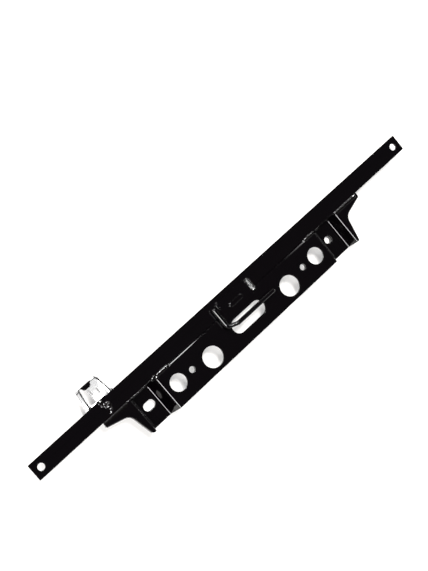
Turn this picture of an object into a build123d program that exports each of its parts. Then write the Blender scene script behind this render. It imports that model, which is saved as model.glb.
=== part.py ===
from build123d import *
from math import atan2, radians, sin, tan
import os

# Seat cushion bracket: a flat cross bar with a pressed support bracket welded
# along its front edge, a hook bracket in the middle and a loop clip near the
# left end. Millimetres. X runs along the bar, Y across it towards the loop
# clip, Z up out of the top face of the bar. The origin is on the top face,
# midway between the two end holes.

# Cross bar
bar_length = 705.5
bar_width = 25.0
bar_thickness = 3.0
bar_corner_radius = 1.5
bar_hole_diameter = 10.0
bar_hole_from_end = 12.25

# Sheet of the support bracket and its bends, radii on the outside of the bend
sheet = 2.3
bend_radius = 3.0
foot_bend_radius = 2.5

# Support bracket in plan, from the middle of the plate outwards
bracket_depth = 55.0
plate_half_length = 155.0
foot_wall_run = 10.5
foot_length = 28.0
flange_wall_run = 5.5
flange_reach = 47.0

# Feet: the pressed pockets on each side of the raised plate
foot_drop = 20.0
pocket_gap_from_bar = 0.8
pocket_end_slope = 3.0
pocket_corner_radius = 3.5

# End flanges: the sloping upper part, the steep part and the hollow between
flange_tip_depth = 8.1
flange_knee_reach = 14.0
flange_knee_depth = 17.0
flange_foot_reach = 5.8
flange_hollow_radius = 13.0
flange_lower_radius = 5.0
flange_tip_radius = 3.0
flange_lip_depth = 9.0

# Edge of the raised plate folded down beside the bar
edge_inset_left = 27.5
edge_inset_right = 21.0
edge_flange_depth = 12.0
edge_relief = 2.0

# Holes in the raised plate, placed from the ends and the front of the plate
inner_hole_diameter = 30.0
inner_hole_inset = 79.4
inner_hole_from_front = 21.0
outer_hole_diameter = 24.6
outer_hole_inset = 20.4
outer_hole_from_front = 27.3
collar_bore = 9.0
collar_outer_diameter = 12.4
collar_depth = 5.8
collar_inset = 46.2
collar_from_bar = 27.5
slot_length = 58.6
slot_width = 21.8
slot_from_bar = 26.7

# Holes in the feet
foot_hole_from_bar = 26.5
foot_slot_inset = 14.9
foot_slot_length = 18.0
foot_slot_width = 12.0
foot_hole_inset = 9.5
foot_hole_diameter = 12.0

# Weld nut under the right foot
nut_across_flats = 19.0
nut_height = 7.0
nut_bore = 10.4
nut_chamfer = 1.0

# Hook bracket: the base plate
hook_sheet = 3.0
hook_base_left = 36.0
hook_base_right = 33.4
hook_base_front = 27.5
hook_shoulder_back = 6.0
hook_tongue_left = 25.0
hook_tongue_right = 26.3
hook_tongue_back = 5.0
hook_ear_back = 19.0
hook_corner_radius = 2.0

# Hook wire: round wire along the left end of the base, then a finger over the slot
wire_diameter = 6.2
wire_inset = 1.4
wire_back = 2.0
wire_corner_front = 29.6
wire_finger_front = 35.0
wire_finger_start = 19.0
wire_finger_end = 52.0
wire_corner_radius = 4.5
wire_kink_radius = 8.0
wire_end_edge = 1.6
rib_length = 26.0
rib_width = 8.0
rib_height = 1.8
rib_taper = 25.0
rib_offset = -0.5
rib_from_front = 17.0

# Loop clip, placed from the left end of the bar and then from its left leg
clip_from_bar_end = 106.75
clip_sheet = 1.4
clip_wall_top = 1.0
clip_span = 36.7
clip_left_lean = 4.7
clip_right_lean = 3.1
clip_reach = 27.7
clip_corner_radius = 4.0
clip_slope = 12.0
clip_tray_overhang = 4.8
clip_window_inset = 1.4
clip_window_width = 11.1
clip_window_margin = 1.5
clip_tail_inset = 10.0
clip_tail_width = 21.0
clip_tail_length = 21.0
slit_width = 1.0
slit_length = 8.0
slit_insets = (14.7, 24.0)
slit_reaches = (15.8, 10.9)
tongue_root_width = 16.0
tongue_tip_width = 10.6
tongue_depth = 5.4
tongue_inset = 15.6

# Weld beads
bead_height = 1.6
bead_width = 5.0
flange_bead_width = 5.6
bead_lap_on_bar = 1.5
flange_bead_lap = 0.4
bead_edge = 1.2
left_flange_bead_length = 42.0
left_corner_bead_inset = 2.0
left_corner_bead_length = 22.5
right_corner_bead_inset = -1.0
right_corner_bead_length = 19.5
right_flange_bead_length = 44.0
hook_bead_width = 4.0
hook_bead_height = 2.6
hook_bead_back = 3.0
left_hook_bead_length = 9.0
right_hook_bead_length = 21.5
wire_bead_width = 2.4
wire_bead_length = 14.0
wire_bead_front = 25.0
clip_bead_radius = 2.6
plug_weld_inset = 20.0
plug_weld_from_edge = 11.0
plug_weld_diameter = 11.0
plug_weld_height = 1.8

# Places worked out from the sizes above
bar_edge = bar_width / 2
bar_hole_offset = bar_length / 2 - bar_hole_from_end
front_edge = -bar_edge - bracket_depth
foot_start = plate_half_length + foot_wall_run
foot_end = foot_start + foot_length
flange_start = foot_end + flange_wall_run
bracket_half_length = flange_start + flange_reach
flange_knee_offset = flange_start + flange_knee_reach
flange_lower_half_length = flange_start + flange_foot_reach
edge_flange_left = plate_half_length - edge_inset_left
edge_flange_right = plate_half_length - edge_inset_right
inner_hole_offset = plate_half_length - inner_hole_inset
outer_hole_offset = plate_half_length - outer_hole_inset
collar_offset = plate_half_length - collar_inset
foot_slot_offset = foot_start + foot_slot_inset
foot_hole_offset = foot_start + foot_hole_inset
clip_left_foot = bar_length / 2 - clip_from_bar_end
clip_right_foot = clip_left_foot - clip_span
clip_left_corner = clip_left_foot - clip_left_lean
clip_right_corner = clip_right_foot + clip_right_lean
clip_tray_left = clip_left_foot + clip_tray_overhang
clip_window_left = clip_left_foot - clip_window_inset
clip_window_right = clip_window_left - clip_window_width
clip_tail_left = clip_left_foot - clip_tail_inset
clip_tail_right = clip_tail_left - clip_tail_width
slit_offsets = [clip_left_foot - inset for inset in slit_insets]
tongue_offset = clip_left_foot - tongue_inset
plug_weld_offset = clip_left_foot - plug_weld_inset
left_corner_bead = plate_half_length - left_corner_bead_inset
right_corner_bead = plate_half_length - right_corner_bead_inset

# Room that the cutting shapes have past the sheet
beyond = 15.0
trim = 0.5
form_height = foot_drop + 4 * sheet

os.makedirs("parts", exist_ok=True)


def wall_shift(run, drop, distance):
    """Plan shift of a sloping wall that moves out by distance square to itself."""
    return distance / sin(atan2(drop, run))


# Cross bar: flat strap with a hole at each end
with BuildPart() as cross_bar:
    with BuildSketch(Plane.XY.offset(-bar_thickness)) as strap:
        Rectangle(bar_length, bar_width)
        fillet(strap.vertices(), bar_corner_radius)
    extrude(amount=bar_thickness)
    with Locations((-bar_hole_offset, 0, 0), (bar_hole_offset, 0, 0)):
        Hole(bar_hole_diameter / 2)


def foot_pocket(depth, side):
    """Space over one foot, above the skin that lies depth under the face of the sheet."""
    slope = (foot_start - plate_half_length) / foot_drop
    back_slope = (flange_start - foot_end) / foot_drop
    end_slope = pocket_end_slope / foot_drop
    inner = wall_shift(foot_start - plate_half_length, foot_drop, depth)
    outer = wall_shift(flange_start - foot_end, foot_drop, depth)
    end = wall_shift(pocket_end_slope, foot_drop, depth)
    rim = -bar_edge - pocket_gap_from_bar + end
    low = front_edge - trim - depth / 4
    top, bottom = beyond, -foot_drop - depth
    with BuildPart() as pocket:
        with BuildSketch(Plane.XZ.offset(-low)) as hat:
            with BuildLine():
                Polyline(
                    (side * (plate_half_length - inner - slope * top), top),
                    (side * (plate_half_length - inner - slope * bottom), bottom),
                    (side * (flange_start + outer + back_slope * bottom), bottom),
                    (side * (flange_start + outer + back_slope * top), top),
                    close=True,
                )
            make_face()
        extrude(amount=low)
        with BuildSketch(Plane.YZ) as ends:
            with BuildLine():
                Polyline(
                    (low, top),
                    (low, bottom),
                    (rim + end_slope * bottom, bottom),
                    (rim + end_slope * top, top),
                    close=True,
                )
            make_face()
        extrude(amount=2 * side * flange_start, mode=Mode.INTERSECT)
        uprights = pocket.edges().filter_by(lambda e: low < e.center().Y and abs(e.center().Z) < top)
        uprights = uprights.filter_by(lambda e: abs(e.tangent_at(0.5).Z) > 0.8)
        fillet(uprights, pocket_corner_radius + depth)
    return pocket.part


def flange_outline(depth):
    """Plan outline of the pressing, moved in by depth along its lipped edges."""
    rise = flange_knee_depth - flange_tip_depth
    run = bracket_half_length - flange_knee_offset
    steep_run = flange_knee_offset - flange_lower_half_length
    steep_drop = bracket_depth - flange_knee_depth
    top = bar_edge + depth
    low = front_edge - trim - depth / 4
    tip_x = bracket_half_length + beyond + depth
    slope = rise / run
    steep = steep_run / steep_drop
    lift = wall_shift(rise, run, depth)
    shift = wall_shift(steep_run, steep_drop, depth)
    tip_y = -bar_edge - flange_tip_depth + slope * (tip_x - bracket_half_length) + lift
    low_x = flange_lower_half_length + steep * (low - front_edge) - shift
    knee_y = -bar_edge - flange_knee_depth
    knee_x = flange_knee_offset - shift
    across = (lift - slope * shift) / (1 - slope * steep)
    knee = (knee_x + steep * across, knee_y + across)
    right = [(tip_x, top), (tip_x, tip_y), knee, (low_x, low)]
    left = [(-x, y) for x, y in reversed(right)]
    return right + left, knee


def rounding(corner, first, second, radius):
    """Face that takes a corner of the blank off along an arc, between two edges."""
    first, second = first.normalized(), second.normalized()
    half = radians(first.get_angle(second) / 2)
    into = (first + second).normalized()
    reach = radius / tan(half)
    centre = corner + into * (radius / sin(half))
    start, end = corner + first * reach, corner + second * reach
    away = into * -radius
    with BuildSketch() as patch:
        with BuildLine():
            ThreePointArc(start, centre + away, end)
            Polyline(end, end + away, corner + away * 2, start + away, start)
        make_face()
    return patch.sketch


def pressing(depth):
    """Solid under the skin that lies depth beneath the outside face of the sheet."""
    corners, knee = flange_outline(depth)
    with BuildPart() as form:
        with BuildSketch(Plane.XY.offset(-depth)) as plan:
            with BuildLine():
                Polyline(*corners, close=True)
            make_face()
            knees = plan.vertices().filter_by(lambda v: abs(v.Y - knee[1]) < 0.01)
            fillet(knees, flange_hollow_radius + depth)
        extrude(amount=-form_height)
        for side in (-1, 1):
            add(foot_pocket(depth, side), mode=Mode.SUBTRACT)
        floors = form.faces().filter_by(Axis.Z).group_by(Axis.Z)[1].edges()
        low = front_edge - trim - depth / 4
        floors = floors.filter_by(lambda e: e.center().Y > low + 0.1)
        fillet(floors, foot_bend_radius + depth)
        tops = form.faces().sort_by(Axis.Z)[-1].edges()
        reach = bracket_half_length + beyond
        tops = tops.filter_by(lambda e: low + 0.1 < e.center().Y < bar_edge)
        tops = tops.filter_by(lambda e: abs(e.center().X) < reach)
        fillet(tops, bend_radius - depth)
    return form.part


# Support bracket: one pressing, the skin between two forms
with BuildPart() as support_bracket:
    add(pressing(0))
    add(pressing(sheet), mode=Mode.SUBTRACT)
    # Trim to the cut blank
    with BuildSketch(Plane.XY.offset(-form_height)) as blank:
        with Locations((0, (front_edge - bar_edge) / 2)):
            Rectangle(2 * bracket_half_length, bracket_depth)
    extrude(amount=2 * form_height, mode=Mode.INTERSECT)
    # Lips around the end flanges keep one depth
    with BuildSketch(Plane.XY.offset(-flange_lip_depth)) as lips:
        for side in (-1, 1):
            with Locations((side * (flange_start + trim), 0)):
                Rectangle(
                    flange_reach + beyond,
                    2 * (bar_width + bracket_depth),
                    align=(Align.MIN if side > 0 else Align.MAX, Align.CENTER),
                )
    extrude(amount=-form_height, mode=Mode.SUBTRACT)

    # Edge beside the bar folded down, with a relief at each end of the fold
    fold_start = -edge_flange_left
    fold_length = edge_flange_left + edge_flange_right
    with BuildSketch(Plane.XY.offset(-form_height)) as relief:
        with Locations((fold_start - edge_relief, -bar_edge)):
            Rectangle(
                fold_length + 2 * edge_relief, bend_radius, align=(Align.MIN, Align.MAX)
            )
    extrude(amount=2 * form_height, mode=Mode.SUBTRACT)
    with BuildSketch(Plane.YZ.offset(fold_start)) as fold:
        flat_end = -bar_edge - bend_radius
        with BuildLine():
            CenterArc((flat_end, -bend_radius), bend_radius, 0, 90)
            CenterArc((flat_end, -bend_radius), bend_radius - sheet, 0, 90)
            Line((flat_end, 0), (flat_end, -sheet))
            Polyline(
                (-bar_edge, -bend_radius),
                (-bar_edge, -edge_flange_depth),
                (-bar_edge - sheet, -edge_flange_depth),
                (-bar_edge - sheet, -bend_radius),
            )
        make_face()
    extrude(amount=fold_length)
    # Rounded corners of the blank at the foot and the tip of each end flange
    steep = (flange_knee_offset - flange_lower_half_length, bracket_depth - flange_knee_depth)
    gentle = (flange_knee_offset - bracket_half_length, flange_tip_depth - flange_knee_depth)
    with BuildSketch(Plane.XY.offset(-form_height)) as corners:
        for side in (-1, 1):
            foot = rounding(
                Vector(side * flange_lower_half_length, front_edge),
                Vector(side * steep[0], steep[1]),
                Vector(-side, 0),
                flange_lower_radius,
            )
            tip = rounding(
                Vector(side * bracket_half_length, -bar_edge - flange_tip_depth),
                Vector(side * gentle[0], gentle[1]),
                Vector(0, 1),
                flange_tip_radius,
            )
            add(foot)
            add(tip)
    extrude(amount=2 * form_height, mode=Mode.SUBTRACT)
    # Plunged collars under the two small holes
    collars = [(side * collar_offset, -bar_edge - collar_from_bar) for side in (-1, 1)]
    inner_holes = [(side * inner_hole_offset, front_edge + inner_hole_from_front) for side in (-1, 1)]
    outer_holes = [(side * outer_hole_offset, front_edge + outer_hole_from_front) for side in (-1, 1)]
    with BuildSketch(Plane.XY.offset(-sheet)) as collar:
        with Locations(*collars):
            Circle(collar_outer_diameter / 2)
    extrude(amount=sheet - collar_depth)
    # Holes through the raised plate and the feet
    with BuildSketch(Plane.XY.offset(-form_height)) as holes:
        with Locations(*inner_holes):
            Circle(inner_hole_diameter / 2)
        with Locations(*outer_holes):
            Circle(outer_hole_diameter / 2)
        with Locations(*collars):
            Circle(collar_bore / 2)
        with Locations((0, -bar_edge - slot_from_bar)):
            SlotOverall(slot_length, slot_width)
        with Locations((-foot_slot_offset, -bar_edge - foot_hole_from_bar)):
            SlotOverall(foot_slot_length, foot_slot_width)
        with Locations((foot_hole_offset, -bar_edge - foot_hole_from_bar)):
            Circle(foot_hole_diameter / 2)
    extrude(amount=2 * form_height, mode=Mode.SUBTRACT)

# Weld nut under the right foot
with BuildPart() as foot_weld_nut:
    with BuildSketch(Plane.XY.offset(-foot_drop - sheet)) as hexagon:
        with Locations((foot_hole_offset, -bar_edge - foot_hole_from_bar)):
            RegularPolygon(nut_across_flats / 2, 6, major_radius=False)
            Circle(nut_bore / 2, mode=Mode.SUBTRACT)
    extrude(amount=-nut_height)
    rim = foot_weld_nut.faces().sort_by(Axis.Z)[0].edges().filter_by(GeomType.LINE)
    chamfer(rim, nut_chamfer)

# Hook bracket: base plate on the bar, with a raised rib
with BuildPart() as hook_bracket:
    with BuildSketch(Plane.XY) as base:
        with BuildLine():
            Polyline(
                (-hook_base_left, -hook_base_front),
                (hook_base_right, -hook_base_front),
                (hook_base_right, -hook_ear_back),
                (hook_tongue_right, -hook_ear_back),
                (hook_tongue_right, hook_tongue_back),
                (-hook_tongue_left, hook_tongue_back),
                (-hook_tongue_left, -hook_shoulder_back),
                (-hook_base_left, -hook_shoulder_back),
                close=True,
            )
        make_face()
        fillet(base.vertices(), hook_corner_radius)
    extrude(amount=hook_sheet)
    # Raised rib in the base, open underneath
    rib_middle = (rib_offset, rib_from_front - hook_base_front)
    with BuildSketch(Plane.XY.offset(hook_sheet)) as rib:
        with Locations(rib_middle):
            SlotOverall(rib_length, rib_width)
    extrude(amount=rib_height, taper=rib_taper)
    crown = hook_bracket.faces().filter_by(lambda f: abs(f.center().Z - hook_sheet - rib_height) < 0.01)
    chamfer(crown.edges(), rib_height / 3)
    with BuildSketch(Plane.XY) as hollow:
        with Locations(rib_middle):
            SlotOverall(rib_length - hook_sheet, rib_width - hook_sheet)
    extrude(amount=rib_height, taper=rib_taper, mode=Mode.SUBTRACT)

# Hook wire: lies on the base, turns the corner and ends in a finger held clear of the plate
wire_radius = wire_diameter / 2
wire_left = wire_inset - hook_base_left
wire_height = hook_sheet + wire_radius
with BuildPart() as hook_wire:
    with BuildLine() as route:
        leg = Line((wire_left, wire_back, wire_height), (wire_left, -wire_corner_front, wire_height))
        cross = Line(leg @ 1, (-wire_finger_start, -wire_finger_front, wire_height))
        finger = Line(cross @ 1, (wire_finger_end, -wire_finger_front, wire_height))
        corner, kink = route.vertices().filter_by(
            lambda v: v.Y < wire_back and v.X < wire_finger_end
        ).sort_by(Axis.X)
        fillet(corner, wire_corner_radius)
        fillet(kink, wire_kink_radius)
    with BuildSketch(Plane((wire_left, wire_back, wire_height), x_dir=(1, 0, 0), z_dir=(0, -1, 0))):
        Circle(wire_radius)
    sweep()
    ends = hook_wire.faces().filter_by(GeomType.PLANE).edges()
    chamfer(ends, wire_end_edge)

# Loop clip: a wall bent round three sides of a sloping tray
tray_end = bar_edge + clip_reach + clip_sheet / 2
tray_fall = (tray_end - bar_edge) * tan(radians(clip_slope))
under_bar = -bar_thickness
with BuildPart() as loop_clip:
    with BuildSketch(Plane.YZ.offset(-clip_tray_left)) as slope:
        with BuildLine():
            Polyline(
                (bar_edge - clip_tail_length, under_bar),
                (bar_edge, under_bar),
                (tray_end, under_bar - tray_fall),
                (tray_end, under_bar - tray_fall - clip_sheet),
                (bar_edge, under_bar - clip_sheet),
                (bar_edge - clip_tail_length, under_bar - clip_sheet),
                close=True,
            )
        make_face()
    extrude(amount=clip_tray_left - clip_right_foot)
    # Plan of the tray: tail under the bar, window beside the left leg, two slits
    with BuildSketch(Plane.XY.offset(-form_height)) as plan:
        with BuildLine():
            Polyline(
                (-clip_tray_left, bar_edge),
                (clip_left_foot - clip_left_corner - clip_tray_left, tray_end),
                (-clip_right_corner, tray_end),
                (-clip_right_foot, bar_edge),
                (-clip_tail_right, bar_edge),
                (-clip_tail_right, bar_edge - clip_tail_length),
                (-clip_tail_left, bar_edge - clip_tail_length),
                (-clip_tail_left, bar_edge),
                close=True,
            )
        make_face()
        with BuildLine():
            Polyline(
                (-clip_window_left, bar_edge + clip_window_margin),
                (clip_left_foot - clip_left_corner - clip_window_left, tray_end - clip_sheet),
                (-clip_window_right, tray_end - clip_sheet),
                (-clip_window_right, bar_edge + clip_window_margin),
                close=True,
            )
        make_face(mode=Mode.SUBTRACT)
        for offset, reach in zip(slit_offsets, slit_reaches):
            with Locations((-offset, bar_edge + reach)):
                SlotOverall(slit_length, slit_width, rotation=90, mode=Mode.SUBTRACT)
    extrude(amount=2 * form_height, mode=Mode.INTERSECT)
    # Wall standing round the tray
    with BuildSketch(Plane.XY.offset(clip_wall_top)) as wall:
        with BuildLine() as route:
            FilletPolyline(
                (-clip_left_foot, bar_edge),
                (-clip_left_corner, bar_edge + clip_reach),
                (-clip_right_corner, bar_edge + clip_reach),
                (-clip_right_foot, bar_edge),
                radius=clip_corner_radius,
            )
        trace(line_width=clip_sheet)
        with Locations((0, bar_edge)):
            Rectangle(bar_length, bar_width, align=(Align.CENTER, Align.MAX), mode=Mode.SUBTRACT)
    extrude(amount=-clip_wall_top - bar_thickness - clip_sheet - tray_fall)
    # The wall keeps one height over the tray
    far_fall = tray_fall + beyond * tan(radians(clip_slope))
    with BuildSketch(Plane.YZ.offset(-clip_tray_left - beyond)) as outside:
        with BuildLine():
            Polyline(
                (bar_edge, under_bar - clip_sheet),
                (tray_end + beyond, under_bar - clip_sheet - far_fall),
                (tray_end + beyond, -form_height),
                (bar_edge, -form_height),
                close=True,
            )
        make_face()
        with BuildLine():
            Polyline(
                (bar_edge, clip_wall_top),
                (tray_end + beyond, clip_wall_top - far_fall),
                (tray_end + beyond, clip_wall_top + beyond),
                (bar_edge, clip_wall_top + beyond),
                close=True,
            )
        make_face()
    extrude(amount=clip_tray_left, mode=Mode.SUBTRACT)
    # Tongue folded in from the top of the outer wall
    root = bar_edge + clip_reach
    root_fall = (clip_reach - clip_sheet / 2) * tan(radians(clip_slope))
    with BuildSketch(Plane.XY.offset(clip_wall_top - root_fall)) as tongue:
        with BuildLine():
            Polyline(
                (-tongue_offset - tongue_root_width / 2, root),
                (-tongue_offset + tongue_root_width / 2, root),
                (-tongue_offset + tongue_tip_width / 2, root - tongue_depth),
                (-tongue_offset - tongue_tip_width / 2, root - tongue_depth),
                close=True,
            )
        make_face()
    extrude(amount=-clip_sheet)


def bead_along_bar(middle, length, lap, width):
    """Low rounded weld bead on the joint between the bar and the bracket."""
    with BuildPart() as bead:
        with BuildSketch(Plane.XY) as run:
            with Locations((middle, lap - bar_edge - width / 2)):
                SlotOverall(length, width)
        extrude(amount=bead_height)
        chamfer(bead.faces().sort_by(Axis.Z)[-1].edges(), bead_edge)
    return bead.part


def bead_beside_hook(side, length):
    """Weld bead down one side of the tongue of the hook bracket."""
    edge = hook_tongue_right if side > 0 else -hook_tongue_left
    with BuildPart() as bead:
        with BuildSketch(Plane.XY) as run:
            with Locations((edge + side * hook_bead_width / 4, hook_bead_back - length / 2)):
                SlotOverall(length, hook_bead_width, rotation=90)
        extrude(amount=hook_bead_height)
        chamfer(bead.faces().sort_by(Axis.Z)[-1].edges(), bead_edge)
        add(hook_bracket.part, mode=Mode.SUBTRACT)
    return bead.part


with BuildPart() as weld_left_flange:
    middle = left_flange_bead_length / 2 - bracket_half_length
    add(bead_along_bar(middle, left_flange_bead_length, flange_bead_lap, flange_bead_width))

with BuildPart() as weld_left_corner:
    middle = left_corner_bead_length / 2 - left_corner_bead
    add(bead_along_bar(middle, left_corner_bead_length, bead_lap_on_bar, bead_width))

with BuildPart() as weld_right_corner:
    middle = right_corner_bead - right_corner_bead_length / 2
    add(bead_along_bar(middle, right_corner_bead_length, bead_lap_on_bar, bead_width))

with BuildPart() as weld_right_flange:
    middle = flange_start + right_flange_bead_length / 2
    add(bead_along_bar(middle, right_flange_bead_length, flange_bead_lap, flange_bead_width))

with BuildPart() as weld_hook_left:
    add(bead_beside_hook(-1, left_hook_bead_length))

with BuildPart() as weld_hook_right:
    add(bead_beside_hook(1, right_hook_bead_length))

# Bead between the hook wire and the base, on the inside of the corner
with BuildPart() as weld_hook_wire:
    with BuildSketch(Plane.XZ.offset(wire_bead_front - wire_bead_length)) as fillet_weld:
        with BuildLine():
            Polyline(
                (wire_left, hook_sheet),
                (wire_left + wire_radius + wire_bead_width, hook_sheet),
                (wire_left + wire_radius, wire_height),
                (wire_left, wire_height),
                close=True,
            )
        make_face()
    extrude(amount=wire_bead_length)
    add(hook_wire.part, mode=Mode.SUBTRACT)

# Welds in the corners between the clip legs and the edge of the bar
with BuildPart() as weld_clip_legs:
    with BuildSketch(Plane.XY.offset(-bar_thickness)) as spots:
        with Locations((-clip_left_foot, bar_edge), (-clip_right_foot, bar_edge)):
            Circle(clip_bead_radius)
        with Locations((0, bar_edge)):
            Rectangle(bar_length, bar_width, align=(Align.CENTER, Align.MAX), mode=Mode.SUBTRACT)
        with Locations((-(clip_left_foot + clip_right_foot) / 2, bar_edge)):
            Rectangle(clip_left_foot - clip_right_foot, bar_width, mode=Mode.SUBTRACT)
    extrude(amount=bar_thickness)
    add(loop_clip.part, mode=Mode.SUBTRACT)

# Plug weld that holds the tail of the clip through the bar
with BuildPart() as weld_clip_plug:
    with BuildSketch(Plane.XY) as spot:
        with Locations((-plug_weld_offset, bar_edge - plug_weld_from_edge)):
            Circle(plug_weld_diameter / 2)
    extrude(amount=plug_weld_height)
    chamfer(weld_clip_plug.faces().sort_by(Axis.Z)[-1].edges(), bead_edge)

for name, piece in (
    ("cross_bar", cross_bar),
    ("support_bracket", support_bracket),
    ("foot_weld_nut", foot_weld_nut),
    ("hook_bracket", hook_bracket),
    ("hook_wire", hook_wire),
    ("loop_clip", loop_clip),
    ("weld_left_flange", weld_left_flange),
    ("weld_left_corner", weld_left_corner),
    ("weld_right_corner", weld_right_corner),
    ("weld_right_flange", weld_right_flange),
    ("weld_hook_left", weld_hook_left),
    ("weld_hook_right", weld_hook_right),
    ("weld_hook_wire", weld_hook_wire),
    ("weld_clip_legs", weld_clip_legs),
    ("weld_clip_plug", weld_clip_plug),
):
    piece.part.label = name
    export_step(piece.part, f"parts/{name}.step")
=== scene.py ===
"""Seat cushion bracket: the visual model, laid out as a Blender add-on."""

import math

import bmesh
import bpy
from bpy.props import FloatProperty, FloatVectorProperty, IntProperty, PointerProperty, StringProperty
from mathutils import Matrix, Vector, noise
from mathutils.bvhtree import BVHTree


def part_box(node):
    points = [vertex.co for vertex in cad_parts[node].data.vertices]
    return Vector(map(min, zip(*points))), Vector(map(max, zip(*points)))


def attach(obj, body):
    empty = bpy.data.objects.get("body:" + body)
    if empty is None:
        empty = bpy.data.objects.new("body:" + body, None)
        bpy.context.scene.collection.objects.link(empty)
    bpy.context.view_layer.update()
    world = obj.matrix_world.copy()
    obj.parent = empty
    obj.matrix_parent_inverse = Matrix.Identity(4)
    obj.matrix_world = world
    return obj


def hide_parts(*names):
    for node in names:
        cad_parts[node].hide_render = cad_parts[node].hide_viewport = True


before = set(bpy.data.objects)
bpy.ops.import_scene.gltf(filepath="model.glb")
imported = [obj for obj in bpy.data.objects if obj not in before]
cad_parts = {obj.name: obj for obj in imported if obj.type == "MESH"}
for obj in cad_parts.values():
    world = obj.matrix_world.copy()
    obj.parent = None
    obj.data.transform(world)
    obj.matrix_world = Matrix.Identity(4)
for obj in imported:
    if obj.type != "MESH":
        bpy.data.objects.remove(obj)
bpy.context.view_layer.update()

bl_info = {
    "name": "Seat Cushion Bracket",
    "version": (1, 0, 0),
    "blender": (4, 5, 0),
    "location": "3D View > Sidebar > Bracket",
    "description": "Coated steel bracket with its weld beads, floor, lights and camera",
    "category": "Object",
}

MM = 0.001

# Handling haze on the coat: size of its patches, and how much rougher it is there
HAZE_SIZE = 30 * MM
HAZE_ROUGHNESS = 0.012
# Height of the coat's waves on rolled strap and on sheet
STRAP_WAVES = 1.2e-6
SHEET_WAVES = 1.4e-6
# A rounded point may lie this deep in the steel, or stand this proud of it, and no more
DEEPEST = 0.7 * MM
PROUDEST = 0.1 * MM
# Points of a copy closer than this are one point
MERGE = 0.002 * MM
WELD_MERGE = 0.001 * MM
# A bead's foot and a patch's foot lie this far below the surface, and a patch is closed further down
BEAD_SUNK = 0.15 * MM
PATCH_SUNK = 0.12 * MM
PATCH_FLOOR = 0.6 * MM
# Share of a ripple's pitch over which it rises; it drops over the rest
RIPPLE_RISE = 0.8
# Size of the lumps along a bead and over a patch
BEAD_LUMPS = 2.4 * MM
PATCH_LUMPS = 2.6 * MM
# Distance of every light from the origin, in metres
LIGHT_DISTANCE = 2.2


def linear(hex_colour):
    """Linear RGBA of an sRGB hex colour such as "#101012"."""
    values = [int(hex_colour[i:i + 2], 16) / 255 for i in (1, 3, 5)]
    return [v / 12.92 if v <= 0.04045 else ((v + 0.055) / 1.055) ** 2.4 for v in values] + [1.0]


class CoatSettings(bpy.types.PropertyGroup):
    """Black electrocoat on steel"""

    colour: StringProperty(
        name="Coat colour", description="Colour of the black coat, as sRGB hex", default="#030203"
    )
    weld_colour: StringProperty(
        name="Weld colour", description="Colour of the coat over the welds, as sRGB hex", default="#050404"
    )
    gloss_roughness: FloatProperty(
        name="Roughness", description="Roughness of the coat on smooth sheet", default=0.05, min=0.0, max=1.0
    )
    peel_size: FloatProperty(
        name="Peel size", description="Distance between the waves of the coat",
        default=2.2 * MM, unit="LENGTH"
    )
    edge_radius: FloatProperty(
        name="Edge radius", description="Radius of the coat over a cut edge", default=0.3 * MM, unit="LENGTH"
    )
    cut_radius: FloatProperty(
        name="Cut radius", description="Radius of the coat over a sharp cut edge",
        default=0.08 * MM, unit="LENGTH"
    )
    rolled_radius: FloatProperty(
        name="Rolled radius", description="Radius of the bar's long rolled edges",
        default=0.8 * MM, unit="LENGTH"
    )


class WeldSettings(bpy.types.PropertyGroup):
    """Weld beads"""

    ripple_pitch: FloatProperty(
        name="Ripple pitch", description="Distance from one ripple to the next",
        default=2.1 * MM, unit="LENGTH"
    )
    ripple_depth: FloatProperty(
        name="Ripple depth", description="Share of the height that a ripple dips",
        default=0.2, min=0.0, max=0.5
    )
    ripple_sweep: FloatProperty(
        name="Ripple sweep", description="How far a ripple's middle runs ahead",
        default=1.3 * MM, unit="LENGTH"
    )
    lump_share: FloatProperty(
        name="Lumps", description="Share by which a bead's width and height wander",
        default=0.14, min=0.0, max=0.5
    )
    grid_step: FloatProperty(
        name="Grid step", description="Distance between the points of a bead",
        default=0.35 * MM, unit="LENGTH"
    )
    segments: IntProperty(
        name="Segments", description="Points round half a bead", default=14, min=4, max=32
    )


class StudioSettings(bpy.types.PropertyGroup):
    """Floor, light and camera"""

    floor_colour: StringProperty(
        name="Floor colour", description="Colour of the floor, as sRGB hex", default="#f4f1ed"
    )
    floor_glow: FloatProperty(
        name="Floor glow", description="Share of the floor that shows plain white",
        default=0.4, min=0.0, max=1.0
    )
    back_power: FloatProperty(
        name="Back light", description="Power of the softbox towards +Y, in watts", default=65.0
    )
    far_power: FloatProperty(
        name="Far light", description="Power of the softbox towards +X and +Y, in watts", default=18.0
    )
    side_power: FloatProperty(
        name="Side light", description="Power of the softbox towards -X, in watts", default=48.0
    )
    top_power: FloatProperty(
        name="Top lamp", description="Power of the small lamp near the zenith, in watts", default=40.0
    )
    front_power: FloatProperty(
        name="Front card", description="Power of the dim card towards -Y, in watts", default=5.0
    )
    ceiling: FloatProperty(
        name="Ceiling", description="Brightness of the ceiling in the coat's reflections", default=0.02
    )
    camera_place: FloatVectorProperty(
        name="Camera", description="Place of the camera",
        default=(-0.4659394, 0.1721699, 1.3431762), unit="LENGTH"
    )
    camera_turn: FloatVectorProperty(
        name="Camera turn",
        description="Turn of the camera",
        default=(math.radians(7.94925), math.radians(-18.03406), math.radians(-42.21683)),
        subtype="EULER",
    )
    lens: FloatProperty(
        name="Lens", description="Focal length in mm on a 36 mm tall sensor", default=66.2276
    )


def add_node(tree, kind, links=None, **settings):
    """Adds one node: settings are its properties, or its inputs by name, and links feed its inputs."""
    node = tree.nodes.new(kind)
    for key, value in settings.items():
        if hasattr(node, key):
            setattr(node, key, value)
        else:
            node.inputs[key.replace("_", " ").strip()].default_value = value
    for key, source in (links or {}).items():
        tree.links.new(source, node.inputs[key])
    return node


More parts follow.
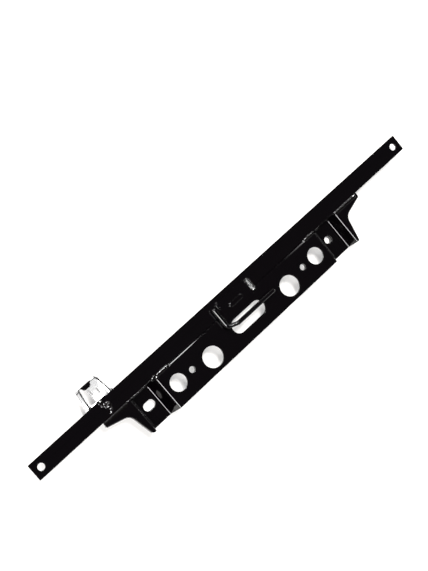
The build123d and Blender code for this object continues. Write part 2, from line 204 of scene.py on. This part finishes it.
def coat_material(name, colour, roughness, peel, peel_height, gloss=0.5):
    """Gloss black electrocoat: a thin baked film that follows the steel below it."""
    material = bpy.data.materials.get(name)
    if material:
        return material
    material = bpy.data.materials.new(name)
    material.use_nodes = True
    tree = material.node_tree
    tree.nodes.clear()
    place = add_node(tree, "ShaderNodeTexCoord").outputs["Object"]
    # Waves of the baked film, a few millimetres apart
    waves = add_node(
        tree, "ShaderNodeTexNoise", {"Vector": place}, Scale=1 / peel, Detail=2.0, Roughness=0.45
    )
    # Handling haze in wide patches
    haze = add_node(tree, "ShaderNodeTexNoise", {"Vector": place}, Scale=1 / HAZE_SIZE, Detail=4.0)
    spread = add_node(
        tree, "ShaderNodeMapRange", {"Value": haze.outputs["Fac"]},
        From_Min=0.35, From_Max=0.7, To_Min=roughness, To_Max=roughness + HAZE_ROUGHNESS,
    )
    height = add_node(tree, "ShaderNodeMath", {0: waves.outputs["Fac"]}, operation="MULTIPLY")
    height.inputs[1].default_value = peel_height
    bump = add_node(tree, "ShaderNodeBump", {"Height": height.outputs[0]}, Strength=1.0, Distance=1.0)
    shade = add_node(
        tree, "ShaderNodeBsdfPrincipled",
        {"Roughness": spread.outputs["Result"], "Normal": bump.outputs["Normal"]},
        IOR=1.5,
    )
    shade.inputs["Specular IOR Level"].default_value = gloss
    shade.inputs["Base Color"].default_value = linear(colour)
    add_node(tree, "ShaderNodeOutputMaterial", {"Surface": shade.outputs["BSDF"]})
    return material


def plain_coat(name, waves=SHEET_WAVES, rougher=0.0):
    """The coat as it lies on bar, sheet, nut and wire."""
    coat = bpy.context.scene.bracket_coat
    return coat_material(name, coat.colour, coat.gloss_roughness + rougher, coat.peel_size, waves)


def finish_mesh(mesh, name, node_names, material):
    """Object at the origin that takes the place of CAD nodes."""
    piece = bpy.data.objects.new(name, mesh)
    bpy.context.scene.collection.objects.link(piece)
    mesh.materials.clear()
    mesh.materials.append(material)
    for polygon in mesh.polygons:
        polygon.material_index = 0
    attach(piece, "root")
    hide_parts(*node_names)
    return piece


def dressed_copy(node, name, material, radius, sharp=30.0, segments=2, rework=None):
    """Copy of a CAD node, merged, with its cut edges rounded as the coat rounds them."""
    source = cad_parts[node]
    form = bmesh.new()
    form.from_mesh(source.data)
    bmesh.ops.remove_doubles(form, verts=form.verts, dist=MERGE)
    bmesh.ops.dissolve_degenerate(form, edges=form.edges, dist=MERGE)
    bmesh.ops.dissolve_limit(
        form, angle_limit=math.radians(0.6), verts=form.verts, edges=form.edges, use_dissolve_boundaries=False
    )
    skin = BVHTree.FromBMesh(form)
    if rework:
        rework(form)
    cut = [e for e in form.edges if e.is_manifold and e.calc_face_angle() > math.radians(sharp)]
    bmesh.ops.bevel(
        form, geom=cut, offset=radius, segments=segments, profile=0.5, affect="EDGES", material=-1,
        loop_slide=True,
    )
    # Where rounded edges meet in a tight corner a point can overshoot: it goes back onto the steel
    for vert in form.verts:
        place, normal, _, away = skin.find_nearest(vert.co)
        if away > DEEPEST or (vert.co - place).dot(normal) > PROUDEST:
            vert.co = place
    bmesh.ops.remove_doubles(form, verts=form.verts, dist=MERGE)
    bmesh.ops.dissolve_degenerate(form, edges=form.edges, dist=WELD_MERGE)
    mesh = bpy.data.meshes.new(name)
    form.to_mesh(mesh)
    form.free()
    piece = finish_mesh(mesh, name, [node], material)
    mesh.shade_smooth()
    weighted = piece.modifiers.new("Flat faces", "WEIGHTED_NORMAL")
    weighted.mode = "FACE_AREA"
    weighted.keep_sharp = True
    weighted.weight = 50
    return piece


def weld_run(name, start, end, width, height, weld, swells=(), crown=1.0, lean=0.0):
    """Rippled bead along a straight joint, closed underneath and at both ends; a low crown is flat on top."""
    run = end - start
    length = run.length
    forward = run.normalized()
    side = Vector((0, 0, 1)).cross(forward)
    rings = math.ceil(length / weld.grid_step)
    sunk = Vector((0, 0, -BEAD_SUNK))
    tallest = 1 + max([0, *(share for _, share in swells)])
    form = bmesh.new()
    loops = []
    for i in range(rings + 1):
        along = length * i / rings
        # The ends are round, as the puddle leaves them
        left = min(along, length - along, width / 2) / (width / 2)
        taper = math.sqrt(max(0.0, 1 - (1 - left) ** 2))
        swell = 1 + sum(
            share * math.exp(-(((along - place * length) / (0.5 * width)) ** 2)) for place, share in swells
        )
        loop = []
        for k in range(weld.segments + 1):
            turn = math.pi * k / weld.segments
            # Ripples lie one over the next, their middles ahead of their sides
            phase = (along + weld.ripple_sweep * math.sin(turn)) / weld.ripple_pitch
            ripple = phase % 1
            ripple = ripple / RIPPLE_RISE if ripple < RIPPLE_RISE else (1 - ripple) / (1 - RIPPLE_RISE)
            dip = weld.ripple_depth * (1 - ripple)
            place = start + forward * along + side * (math.cos(turn) * width / 2)
            lump = 1 + weld.lump_share * noise.noise(place / BEAD_LUMPS)
            reach = width / 2 * taper * (0.85 + 0.15 * swell) * lump
            rise = height * math.sqrt(taper) * (1 - dip) * lump * swell / tallest
            rise *= math.sin(turn) ** crown * (1 + lean * math.cos(turn))
            loop.append(
                form.verts.new(
                    start + forward * along + side * (math.cos(turn) * reach)
                    + Vector((0, 0, rise)) + sunk
                )
            )
        loops.append(loop)
    for one, two in zip(loops, loops[1:]):
        for k in range(len(one)):
            form.faces.new((one[k], one[k - 1], two[k - 1], two[k]))
    bmesh.ops.remove_doubles(form, verts=form.verts, dist=WELD_MERGE)
    bmesh.ops.dissolve_degenerate(form, edges=form.edges, dist=WELD_MERGE)
    bmesh.ops.recalc_face_normals(form, faces=form.faces)
    mesh = bpy.data.meshes.new(name)
    form.to_mesh(mesh)
    form.free()
    mesh.shade_smooth()
    return mesh


def weld_patch(name, middle, domes, pits, weld):
    """Weld that spread over a flat place: domes run together, with pits, cut off by the metal below."""
    left = min(x - radius for x, y, radius, rise in domes)
    right = max(x + radius for x, y, radius, rise in domes)
    front = min(y - radius for x, y, radius, rise in domes)
    back = max(y + radius for x, y, radius, rise in domes)
    step = weld.grid_step
    columns = math.ceil((right - left) / step)
    rows = math.ceil((back - front) / step)
    form = bmesh.new()
    top = []
    for j in range(rows + 1):
        line = []
        for i in range(columns + 1):
            x = left + i * step
            y = front + j * step
            rise = 0.0
            for dome_x, dome_y, radius, height in domes:
                away = min(1.0, math.hypot(x - dome_x, y - dome_y) / radius)
                rise += (height * math.sqrt(1 - away ** 2)) ** 3
            rise = rise ** (1 / 3)
            for pit_x, pit_y, radius, depth in pits:
                rise -= depth * math.exp(-(math.hypot(x - pit_x, y - pit_y) / radius) ** 2)
            rise *= 1 + 1.5 * weld.lump_share * noise.noise(Vector((x, y, 0)) / PATCH_LUMPS)
            # Where the weld ends, the patch dives below the metal it lies on
            line.append(form.verts.new(middle + Vector((x, y, max(rise, 0.0) - PATCH_SUNK))))
        top.append(line)
    floor = middle.z - PATCH_FLOOR
    bottom = [[form.verts.new(Vector((v.co.x, v.co.y, floor))) for v in line] for line in top]
    for j in range(rows):
        for i in range(columns):
            form.faces.new((top[j][i], top[j][i + 1], top[j + 1][i + 1], top[j + 1][i]))
            form.faces.new((bottom[j][i], bottom[j + 1][i], bottom[j + 1][i + 1], bottom[j][i + 1]))

    def rim(grid):
        """The points round a grid's edge, in order."""
        right_side = [line[-1] for line in grid[1:]]
        left_side = [line[0] for line in grid[-2:0:-1]]
        return grid[0] + right_side + grid[-1][-2::-1] + left_side

    rim_top = rim(top)
    rim_low = rim(bottom)
    for k in range(len(rim_top)):
        form.faces.new((rim_top[k - 1], rim_low[k - 1], rim_low[k], rim_top[k]))
    bmesh.ops.recalc_face_normals(form, faces=form.faces)
    mesh = bpy.data.meshes.new(name)
    form.to_mesh(mesh)
    form.free()
    mesh.shade_smooth()
    return mesh


def weld_spots(name, places, radii, weld):
    """Small lumps of weld, one at each place."""
    form = bmesh.new()
    for place in places:
        spot = bmesh.ops.create_uvsphere(form, u_segments=28, v_segments=16, radius=1.0)["verts"]
        for vert in spot:
            lump = 1 + weld.lump_share * noise.noise(vert.co * 1.6 + place * 900)
            vert.co = place + Vector(vert.co[i] * radii[i] for i in range(3)) * lump
    mesh = bpy.data.meshes.new(name)
    form.to_mesh(mesh)
    form.free()
    mesh.shade_smooth()
    return mesh


class BRACKET_OT_cross_bar(bpy.types.Operator):
    """Flat strap with a hole at each end"""

    bl_idname = "bracket.cross_bar"
    bl_label = "Cross bar"

    def execute(self, context):
        coat = context.scene.bracket_coat
        material = plain_coat("electrocoat on rolled strap", STRAP_WAVES)

        def roll_edges(form):
            # The long edges are rolled rounder than a cut edge
            rolled = [e for e in form.edges if abs((e.verts[1].co - e.verts[0].co).x) > 100 * MM]
            bmesh.ops.bevel(
                form, geom=rolled, offset=coat.rolled_radius, segments=4, profile=0.5,
                affect="EDGES", material=-1,
            )

        dressed_copy(
            "cross_bar", "cross_bar_coated", material, coat.edge_radius, 40.0,
            rework=roll_edges,
        )
        return {"FINISHED"}


class BRACKET_OT_support_bracket(bpy.types.Operator):
    """Pressed sheet with two feet, two lipped end flanges and its holes"""

    bl_idname = "bracket.support_bracket"
    bl_label = "Support bracket"

    def execute(self, context):
        coat = context.scene.bracket_coat
        material = plain_coat("electrocoat on pressed sheet")
        dressed_copy("support_bracket", "support_bracket_coated", material, coat.edge_radius)
        material = plain_coat("electrocoat on weld nut", rougher=0.05)
        dressed_copy("foot_weld_nut", "foot_weld_nut_coated", material, coat.edge_radius)
        return {"FINISHED"}


class BRACKET_OT_hook_bracket(bpy.types.Operator):
    """Hook base with its raised rib, and the round wire of the hook"""

    bl_idname = "bracket.hook_bracket"
    bl_label = "Hook bracket"

    def execute(self, context):
        coat = context.scene.bracket_coat
        material = plain_coat("electrocoat on thick sheet")
        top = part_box("hook_bracket")[1].z

        def round_rib(form):
            # The rib is drawn, so its crown is round; the plate's own edges are cut sharp
            crown = [e for e in form.edges if all(v.co.z > top - 1.0 * MM for v in e.verts) and e.is_manifold]
            crown = [e for e in crown if e.calc_face_angle() > math.radians(20)]
            bmesh.ops.bevel(
                form, geom=crown, offset=0.35 * MM, segments=3, profile=0.5, affect="EDGES", material=-1,
            )

        dressed_copy(
            "hook_bracket", "hook_bracket_coated", material, coat.cut_radius, rework=round_rib
        )
        material = plain_coat("electrocoat on round wire")
        low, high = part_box("hook_wire")
        radius = (high.z - low.z) / 2
        corner = Vector((low.x + radius, low.y + radius + 5.4 * MM, low.z + radius))
        kink = Vector((low.x + radius + 15.6 * MM, low.y + radius, low.z + radius))

        def mark_bend(form):
            # The bending tool leaves shallow rings between the corner and the finger
            run = kink - corner
            forward = run.normalized()
            first, last = 0.22 * run.length, 0.9 * run.length
            pitch = 2.3 * MM
            count = round((last - first) / (pitch / 8))
            for i in range(count + 1):
                bmesh.ops.bisect_plane(
                    form, geom=form.verts[:] + form.edges[:] + form.faces[:], dist=0.001 * MM,
                    plane_co=corner + forward * (first + (last - first) * i / count), plane_no=forward,
                )
            for vert in form.verts:
                along = (vert.co - corner).dot(forward)
                away = vert.co - corner - forward * along
                if first <= along <= last and away.length < 1.3 * radius:
                    share = math.sin(math.pi * (along - first) / (last - first)) ** 0.5
                    ring = math.sin(2 * math.pi * along / pitch)
                    vert.co -= away.normalized() * (0.12 * MM * share * (1 + ring))

        dressed_copy(
            "hook_wire", "hook_wire_coated", material, coat.edge_radius, 35.0, rework=mark_bend
        )
        return {"FINISHED"}


class BRACKET_OT_loop_clip(bpy.types.Operator):
    """Thin folded clip behind the bar"""

    bl_idname = "bracket.loop_clip"
    bl_label = "Loop clip"

    def execute(self, context):
        coat = context.scene.bracket_coat
        material = plain_coat("electrocoat on thin sheet")
        low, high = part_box("loop_clip")
        top = high.z
        bar_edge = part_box("cross_bar")[1].y
        # Middles of the two slits, from the clip's left side and the bar's back edge
        slits = [(low.x + 19.5 * MM, bar_edge + 15.8 * MM), (low.x + 28.8 * MM, bar_edge + 10.9 * MM)]
        # Half the width and half the length of a slit, with a little room
        slit_room = (0.8 * MM, 4.4 * MM)
        tray_slope = math.tan(math.radians(12))
        same_level = 0.06 * MM

        def round_slits(form):
            # The radius is chosen so that the slits read against the tray
            def in_slit(co):
                return any(abs(co.x - x) < slit_room[0] and abs(co.y - y) < slit_room[1] for x, y in slits)

            punched = [e for e in form.edges if e.is_manifold and all(in_slit(v.co) for v in e.verts)]
            punched = [e for e in punched if e.calc_face_angle() > math.radians(60)]
            bmesh.ops.bevel(
                form, geom=punched, offset=0.4 * MM, segments=3, profile=0.5, affect="EDGES", material=-1,
            )

        def round_wall(form):
            round_slits(form)

            # The wall's top edge is rounded; it slopes down with the tray
            def on_top(co):
                return abs(co.z - top + max(0.0, co.y - bar_edge) * tray_slope) < same_level

            rim = [e for e in form.edges if e.is_manifold and all(on_top(v.co) for v in e.verts)]
            rim = [e for e in rim if e.calc_face_angle() > math.radians(60)]
            bmesh.ops.bevel(
                form, geom=rim, offset=0.55 * MM, segments=3, profile=0.5, affect="EDGES", material=-1,
            )

        thin_radius = coat.edge_radius * 0.6
        dressed_copy(
            "loop_clip", "loop_clip_coated", material, thin_radius, 35.0, rework=round_wall
        )
        return {"FINISHED"}


class BRACKET_OT_weld_beads(bpy.types.Operator):
    """Weld beads on the bar, the hook and the clip"""

    bl_idname = "bracket.weld_beads"
    bl_label = "Weld beads"

    def execute(self, context):
        coat = context.scene.bracket_coat
        weld = context.scene.bracket_weld
        self.material = coat_material(
            "electrocoat on weld", coat.weld_colour, coat.gloss_roughness + 0.08, 0.9 * MM, 6e-6
        )
        # The long left bead is dimmed for the look: its specular level is below the coat's elsewhere
        shine = self.material
        self.material = coat_material(
            "electrocoat on long left weld", coat.weld_colour, coat.gloss_roughness + 0.25, 0.9 * MM, 9e-6,
            gloss=0.04,
        )
        self.bead("weld_left_flange", weld, flat=0.4)
        self.material = shine
        self.bead("weld_left_corner", weld, swells=((0.04, 0.5),))
        self.bead("weld_right_corner", weld, swells=((0.1, 0.5),))
        self.bead("weld_right_flange", weld, swells=((0.97, 0.6),))
        self.bead("weld_hook_left", weld)
        # The right bead fills the notch beside the tongue, so it is broad and flat, and leans to the tongue
        grow = Vector((7.6, 0, 0.7)) * MM
        shift = Vector((2.6, 0, 0)) * MM
        self.bead("weld_hook_right", weld, crown=0.45, lean=0.3, grow=grow, shift=shift)
        self.bead("weld_hook_wire", weld)
        # Drops run out past the start of the left corner bead
        low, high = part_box("weld_left_corner")
        drops = [
            Vector((low.x + 0.4 * MM, low.y + 0.2 * MM, low.z)),
            Vector((low.x - 2.2 * MM, high.y - 1.2 * MM, low.z)),
            Vector((low.x - 5.4 * MM, high.y - 2.6 * MM, low.z)),
        ]
        drop_radii = Vector((2.6, 2.6, 0.9)) * MM
        finish_mesh(
            weld_spots("weld_left_corner_drops", drops, drop_radii, weld), "weld_left_corner_drops", [],
            self.material,
        )
        low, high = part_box("weld_clip_legs")
        spot = high.y - low.y
        middle_z = (low.z + high.z) / 2
        radii = Vector((spot, spot, (high.z - low.z) / 2))
        places = [Vector((x, low.y, middle_z)) for x in (low.x + spot, high.x - spot)]
        self.finish("weld_clip_legs", weld_spots("weld_clip_legs_coated", places, radii, weld))
        # Plug weld over the clip's tail, with a crater, run out towards both edges of the bar
        low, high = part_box("weld_clip_plug")
        plug = (high.x - low.x) / 2
        height = high.z - low.z
        domes = (
            (0.0, 0.0, plug, height),
            (-0.95 * plug, 1.5 * plug, 0.7 * plug, 0.6 * height),
            (-0.85 * plug, 0.6 * plug, 0.65 * plug, 0.55 * height),
            (0.1 * plug, -1.2 * plug, 0.5 * plug, 0.7 * height),
            (-0.5 * plug, -1.9 * plug, 0.45 * plug, 0.6 * height),
        )
        pits = ((-0.1 * plug, 0.1 * plug, 0.35 * plug, 0.8 * height),)
        middle = Vector(((low.x + high.x) / 2, (low.y + high.y) / 2, low.z))
        self.finish("weld_clip_plug", weld_patch("weld_clip_plug_coated", middle, domes, pits, weld))
        return {"FINISHED"}

    def bead(self, node, weld, swells=(), flat=1.0, crown=1.0, lean=0.0, grow=Vector(), shift=Vector()):
        low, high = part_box(node)
        size = high - low + grow
        middle = (low + high) / 2 + shift
        axis = Vector((1, 0, 0)) if size.x > size.y else Vector((0, -1, 0))
        length, width = max(size.x, size.y), min(size.x, size.y)
        base = Vector((middle.x, middle.y, low.z))
        mesh = weld_run(
            node + "_coated", base - axis * length / 2, base + axis * length / 2, width, size.z * flat, weld,
            swells, crown, lean,
        )
        self.finish(node, mesh)

    def finish(self, node, mesh):
        finish_mesh(mesh, node + "_coated", [node], self.material)


class BRACKET_OT_studio(bpy.types.Operator):
    """Pale floor, soft light and the camera"""

    bl_idname = "bracket.studio"
    bl_label = "Studio"

    def execute(self, context):
        studio = context.scene.bracket_studio
        self.add_floor(studio)
        self.add_world(studio)
        self.add_light("back_softbox", Vector((0.097, 0.467, 0.879)), (0.65, 1.78), studio.back_power)
        self.add_light("far_softbox", Vector((0.56, 0.389, 0.731)), (0.55, 1.78), studio.far_power)
        self.add_light("side_softbox", Vector((-0.63, -0.11, 0.766)), (0.94, 0.7), studio.side_power)
        self.add_light("top_lamp", Vector((0.05, 0.24, 0.97)), (0.35, 0.3), studio.top_power)
        self.add_light("front_card", Vector((0.25, -0.9, 0.28)), (2.0, 0.6), studio.front_power)
        camera = bpy.data.cameras.new("photo_camera")
        camera.sensor_fit = "VERTICAL"
        camera.sensor_height = 36.0
        camera.lens = studio.lens
        camera.clip_start = 0.05
        camera.clip_end = 50.0
        view = bpy.data.objects.new("photo_camera", camera)
        view.location = studio.camera_place
        view.rotation_euler = studio.camera_turn
        context.scene.collection.objects.link(view)
        context.scene.camera = view
        context.scene.view_settings.view_transform = "Standard"
        return {"FINISHED"}

    def seen(self, tree):
        """1 where a ray from the camera, a reflection or a see-through part meets this."""
        path = add_node(tree, "ShaderNodeLightPath")
        first = add_node(
            tree, "ShaderNodeMath",
            {0: path.outputs["Is Camera Ray"], 1: path.outputs["Is Glossy Ray"]}, operation="MAXIMUM",
        )
        return add_node(
            tree, "ShaderNodeMath",
            {0: first.outputs[0], 1: path.outputs["Is Transmission Ray"]}, operation="MAXIMUM",
        ).outputs[0]

    def add_floor(self, studio):
        form = bmesh.new()
        bmesh.ops.create_grid(form, x_segments=1, y_segments=1, size=6.0)
        low = min(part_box(node)[0].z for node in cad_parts)
        bmesh.ops.translate(form, verts=form.verts, vec=(0, 0, low - 0.05 * MM))
        mesh = bpy.data.meshes.new("floor")
        form.to_mesh(mesh)
        form.free()
        floor = bpy.data.objects.new("floor", mesh)
        bpy.context.scene.collection.objects.link(floor)
        material = bpy.data.materials.new("pale paper floor")
        material.use_nodes = True
        tree = material.node_tree
        tree.nodes.clear()
        paper = add_node(tree, "ShaderNodeBsdfDiffuse", Color=linear(studio.floor_colour))
        white = add_node(tree, "ShaderNodeEmission", Color=(1, 1, 1, 1), Strength=1.0)
        share = add_node(tree, "ShaderNodeMath", {0: self.seen(tree)}, operation="MULTIPLY")
        share.inputs[1].default_value = studio.floor_glow
        mix = add_node(
            tree, "ShaderNodeMixShader",
            {0: share.outputs[0], 1: paper.outputs[0], 2: white.outputs[0]},
        )
        add_node(tree, "ShaderNodeOutputMaterial", {"Surface": mix.outputs[0]})
        mesh.materials.append(material)

    def add_world(self, studio):
        world = bpy.data.worlds.new("studio")
        world.use_nodes = True
        bpy.context.scene.world = world
        tree = world.node_tree
        tree.nodes.clear()
        # White walls round the horizon, a dark ceiling above the lamps
        direction = add_node(tree, "ShaderNodeTexCoord").outputs["Generated"]
        parts = add_node(tree, "ShaderNodeSeparateXYZ", {0: direction})
        walls = add_node(
            tree, "ShaderNodeMapRange", {"Value": parts.outputs["Z"]},
            From_Min=0.02, From_Max=0.18, To_Min=1.0, To_Max=studio.ceiling,
        )
        path = add_node(tree, "ShaderNodeLightPath")
        straight = add_node(
            tree, "ShaderNodeMath",
            {0: path.outputs["Is Camera Ray"], 1: path.outputs["Is Transmission Ray"]}, operation="MAXIMUM",
        )
        mirror = add_node(
            tree, "ShaderNodeMath",
            {0: walls.outputs["Result"], 1: path.outputs["Is Glossy Ray"]}, operation="MULTIPLY",
        )
        shown = add_node(
            tree, "ShaderNodeMath", {0: straight.outputs[0], 1: mirror.outputs[0]}, operation="MAXIMUM"
        )
        strength = add_node(tree, "ShaderNodeMath", {0: shown.outputs[0]}, operation="MAXIMUM")
        strength.inputs[1].default_value = 0.05
        back = add_node(tree, "ShaderNodeBackground", {"Strength": strength.outputs[0]}, Color=(1, 1, 1, 1))
        add_node(tree, "ShaderNodeOutputWorld", {"Surface": back.outputs[0]})

    def add_light(self, name, direction, size, power):
        lamp = bpy.data.lights.new(name, "AREA")
        lamp.shape = "RECTANGLE"
        lamp.size, lamp.size_y = size
        lamp.energy = power
        light = bpy.data.objects.new(name, lamp)
        direction = direction.normalized()
        # The first side of each softbox follows the bracket's length as far as it can
        side = (Vector((1, 0, 0)) - direction * direction.x).normalized()
        along = direction.cross(side)
        turn = Matrix((side, along, direction)).transposed()
        light.matrix_world = Matrix.Translation(direction * LIGHT_DISTANCE) @ turn.to_4x4()
        light.visible_camera = False
        bpy.context.scene.collection.objects.link(light)


OPERATORS = (
    BRACKET_OT_studio,
    BRACKET_OT_cross_bar,
    BRACKET_OT_support_bracket,
    BRACKET_OT_hook_bracket,
    BRACKET_OT_loop_clip,
    BRACKET_OT_weld_beads,
)


class BRACKET_PT_sidebar(bpy.types.Panel):
    """Lists the pieces of the bracket"""

    bl_idname = "BRACKET_PT_sidebar"
    bl_label = "Seat Cushion Bracket"
    bl_space_type = "VIEW_3D"
    bl_region_type = "UI"
    bl_category = "Bracket"

    def draw(self, context):
        for group in (context.scene.bracket_coat, context.scene.bracket_weld, context.scene.bracket_studio):
            for name in group.bl_rna.properties.keys():
                if name not in ("rna_type", "name"):
                    self.layout.prop(group, name)
        for operator in OPERATORS:
            self.layout.operator(operator.bl_idname)


CLASSES = (CoatSettings, WeldSettings, StudioSettings) + OPERATORS + (BRACKET_PT_sidebar,)


def register():
    for item in CLASSES:
        bpy.utils.register_class(item)
    bpy.types.Scene.bracket_coat = PointerProperty(type=CoatSettings)
    bpy.types.Scene.bracket_weld = PointerProperty(type=WeldSettings)
    bpy.types.Scene.bracket_studio = PointerProperty(type=StudioSettings)


def unregister():
    del bpy.types.Scene.bracket_studio
    del bpy.types.Scene.bracket_weld
    del bpy.types.Scene.bracket_coat
    for item in reversed(CLASSES):
        bpy.utils.unregister_class(item)


def main():
    register()
    bpy.ops.bracket.studio()
    bpy.ops.bracket.cross_bar()
    bpy.ops.bracket.support_bracket()
    bpy.ops.bracket.hook_bracket()
    bpy.ops.bracket.loop_clip()
    bpy.ops.bracket.weld_beads()
    bpy.context.view_layer.update()


if __name__ == "__main__":
    main()
